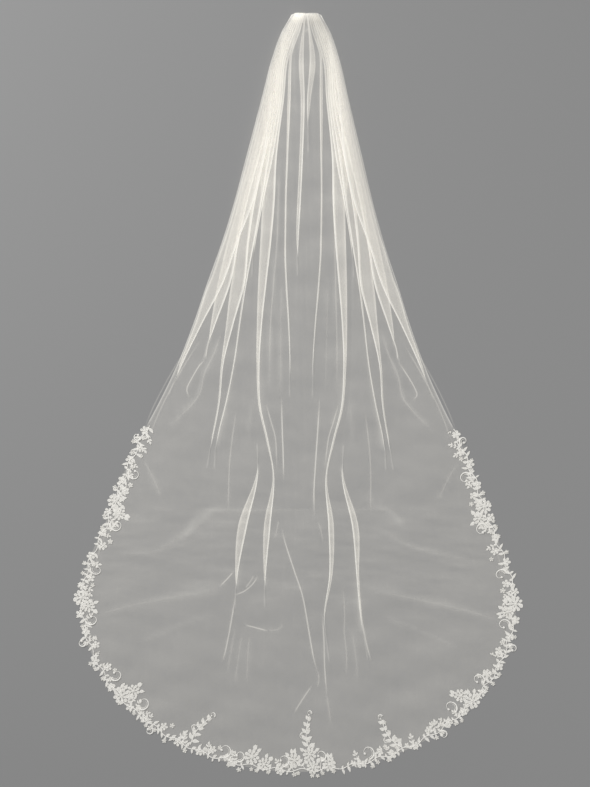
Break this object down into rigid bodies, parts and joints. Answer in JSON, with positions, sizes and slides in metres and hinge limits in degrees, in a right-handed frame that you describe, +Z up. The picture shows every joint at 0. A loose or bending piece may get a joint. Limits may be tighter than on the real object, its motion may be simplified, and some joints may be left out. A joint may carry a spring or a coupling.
{
  "type": "bridal veil",
  "caption": "Cathedral-length tulle bridal veil with a gathered comb heading and a floral lace edging, laid out flat.",
  "frame": {"origin": "under the middle of the veil's box, on the surface that it lies on", "axes": "+Y towards the comb heading, -Y towards the hem, +X to the right seen from above, +Z up"},
  "size_m": [1.7914, 3.0442, 0.0237],
  "materials": {
    "tulle": "sheer ivory net, soft matte",
    "lace": "ivory corded lace with beads",
    "comb": "clear satin plastic"
  },
  "bodies": {
    "root": {"tulle_panel": "tulle", "comb": "comb", "lace_1": "lace", "lace_2": "lace", "lace_3": "lace", "lace_4": "lace", "lace_5": "lace", "lace_6": "lace", "lace_7": "lace", "lace_8": "lace", "lace_9": "lace"}
  },
  "joints": []
}
